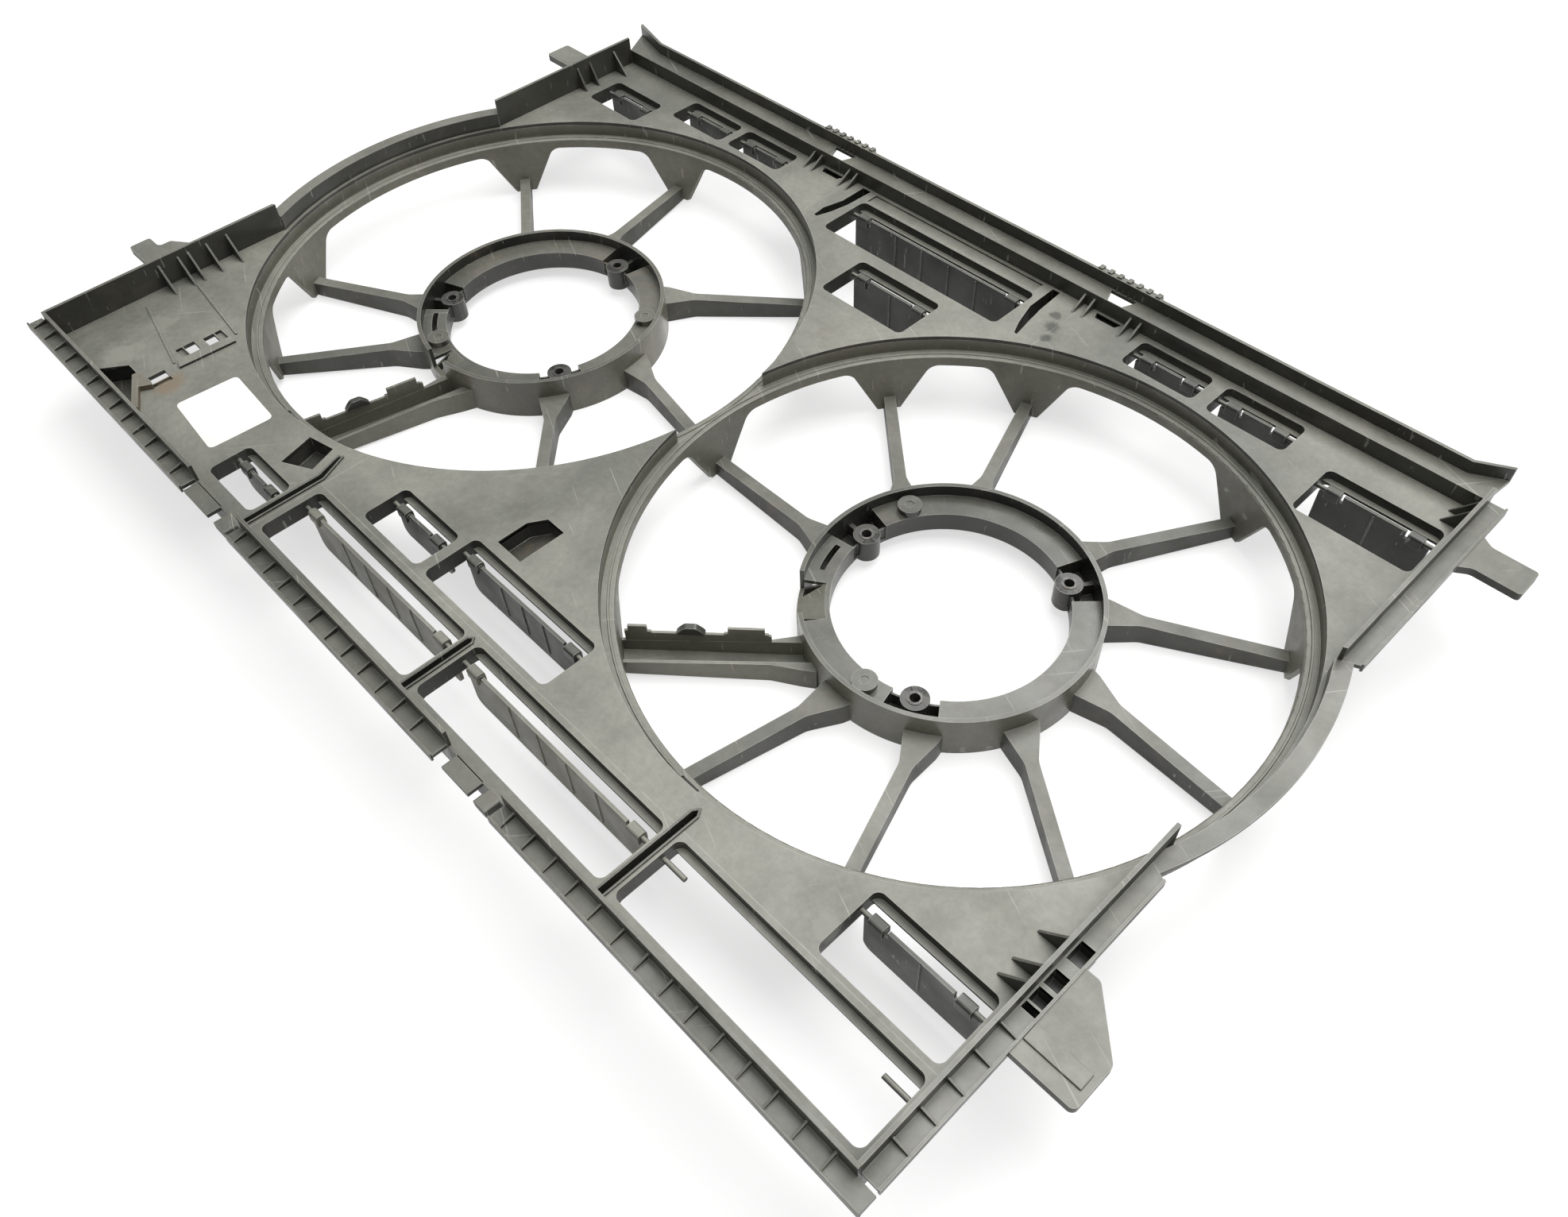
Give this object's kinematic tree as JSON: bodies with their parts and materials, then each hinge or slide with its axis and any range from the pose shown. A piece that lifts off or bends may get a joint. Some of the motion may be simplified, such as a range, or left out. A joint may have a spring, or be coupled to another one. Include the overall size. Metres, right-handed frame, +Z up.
{
  "type": "radiator fan shroud",
  "caption": "Moulded twin-fan radiator shroud: a rectangular frame with spoked motor rings in two round fan openings and air flaps that swing on stub pins.",
  "frame": {"origin": "middle of the overall box, on the plane that the motor rings lie on", "axes": "+X along the long side, +Y from the ribbed near rail to the far rail, +Z up, from the motor side to the radiator side"},
  "size_m": [0.758, 0.4864, 0.0686],
  "materials": {
    "moulding": "black glass-filled nylon, satin, dusty",
    "flap": "thin black moulded flap, matt",
    "bush": "plated steel bush, dull"
  },
  "bodies": {
    "shroud": {"far_left_panel": "moulding", "far_centre_panel": "moulding", "far_right_panel": "moulding", "near_left_panel": "moulding", "near_centre_panel": "moulding", "near_right_panel": "moulding", "left_grille": "moulding", "centre_grille": "moulding", "right_grille": "moulding", "left_fan_ring": "moulding", "left_motor_ring": "moulding", "left_motor_bushes": "bush", "left_spokes": "moulding", "left_cable_spoke": "moulding", "right_fan_ring": "moulding", "right_motor_ring": "moulding", "right_motor_bushes": "bush", "right_spokes": "moulding", "right_cable_spoke": "moulding", "far_rail": "moulding", "near_rail_left": "moulding", "near_rail_centre": "moulding", "near_rail_right": "moulding", "left_near_wall": "moulding", "left_far_wall": "moulding", "right_near_wall": "moulding", "right_far_wall": "moulding", "left_arc_wall": "moulding", "right_arc_wall": "moulding", "far_left_arm": "moulding", "far_right_arm": "moulding", "near_left_arm": "moulding", "near_right_arm": "moulding", "cross_bars": "moulding"},
    "flap_far_1": {"flap_far_1": "flap"},
    "flap_far_2": {"flap_far_2": "flap"},
    "flap_far_3": {"flap_far_3": "flap"},
    "flap_far_4": {"flap_far_4": "flap"},
    "flap_far_5": {"flap_far_5": "flap"},
    "flap_far_6": {"flap_far_6": "flap"},
    "flap_far_7": {"flap_far_7": "flap"},
    "flap_far_8": {"flap_far_8": "flap"},
    "flap_near_1": {"flap_near_1": "flap"},
    "flap_near_2": {"flap_near_2": "flap"},
    "flap_near_3": {"flap_near_3": "flap"},
    "flap_near_4": {"flap_near_4": "flap"},
    "flap_near_5": {"flap_near_5": "flap"},
    "flap_near_7": {"flap_near_7": "flap"}
  },
  "joints": [
    {"name": "flap_far_1_hinge", "type": "hinge", "parent": "shroud", "child": "flap_far_1", "pos_m": [-0.29685, 0.18655, 0.0446], "axis": [-1, 0, 0], "range_deg": [-15, 72.1]},
    {"name": "flap_far_2_hinge", "type": "hinge", "parent": "shroud", "child": "flap_far_2", "pos_m": [-0.23225, 0.20725, 0.0446], "axis": [-1, 0, 0], "range_deg": [-15, 68.1]},
    {"name": "flap_far_3_hinge", "type": "hinge", "parent": "shroud", "child": "flap_far_3", "pos_m": [-0.1752, 0.20725, 0.0446], "axis": [-1, 0, 0], "range_deg": [-15, 65.8]},
    {"name": "flap_far_4_hinge", "type": "hinge", "parent": "shroud", "child": "flap_far_4", "pos_m": [-0.0087, 0.19845, 0.0446], "axis": [-1, 0, 0], "range_deg": [-15, 77.9]},
    {"name": "flap_far_5_hinge", "type": "hinge", "parent": "shroud", "child": "flap_far_5", "pos_m": [-0.0035, 0.15105, 0.0446], "axis": [-1, 0, 0], "range_deg": [-15, 77.5]},
    {"name": "flap_far_6_hinge", "type": "hinge", "parent": "shroud", "child": "flap_far_6", "pos_m": [0.16065, 0.20795, 0.0446], "axis": [-1, 0, 0], "range_deg": [-15, 67.6]},
    {"name": "flap_far_7_hinge", "type": "hinge", "parent": "shroud", "child": "flap_far_7", "pos_m": [0.2186, 0.20795, 0.0446], "axis": [-1, 0, 0], "range_deg": [-15, 69]},
    {"name": "flap_far_8_hinge", "type": "hinge", "parent": "shroud", "child": "flap_far_8", "pos_m": [0.30065, 0.18825, 0.0446], "axis": [-1, 0, 0], "range_deg": [-15, 77.6]},
    {"name": "flap_near_1_hinge", "type": "hinge", "parent": "shroud", "child": "flap_near_1", "pos_m": [-0.1414, -0.20625, 0.0446], "axis": [-1, 0, 0], "range_deg": [-15, 69.9]},
    {"name": "flap_near_2_hinge", "type": "hinge", "parent": "shroud", "child": "flap_near_2", "pos_m": [-0.0353, -0.19825, 0.0446], "axis": [-1, 0, 0], "range_deg": [-15, 77]},
    {"name": "flap_near_3_hinge", "type": "hinge", "parent": "shroud", "child": "flap_near_3", "pos_m": [-0.04745, -0.16295, 0.0446], "axis": [-1, 0, 0], "range_deg": [-15, 71.6]},
    {"name": "flap_near_4_hinge", "type": "hinge", "parent": "shroud", "child": "flap_near_4", "pos_m": [0.0348, -0.15755, 0.0446], "axis": [-1, 0, 0], "range_deg": [-15, 75.5]},
    {"name": "flap_near_5_hinge", "type": "hinge", "parent": "shroud", "child": "flap_near_5", "pos_m": [0.1127, -0.19825, 0.0446], "axis": [-1, 0, 0], "range_deg": [-15, 77]},
    {"name": "flap_near_7_hinge", "type": "hinge", "parent": "shroud", "child": "flap_near_7", "pos_m": [0.29975, -0.15545, 0.0446], "axis": [-1, 0, 0], "range_deg": [-15, 76.9]}
  ]
}
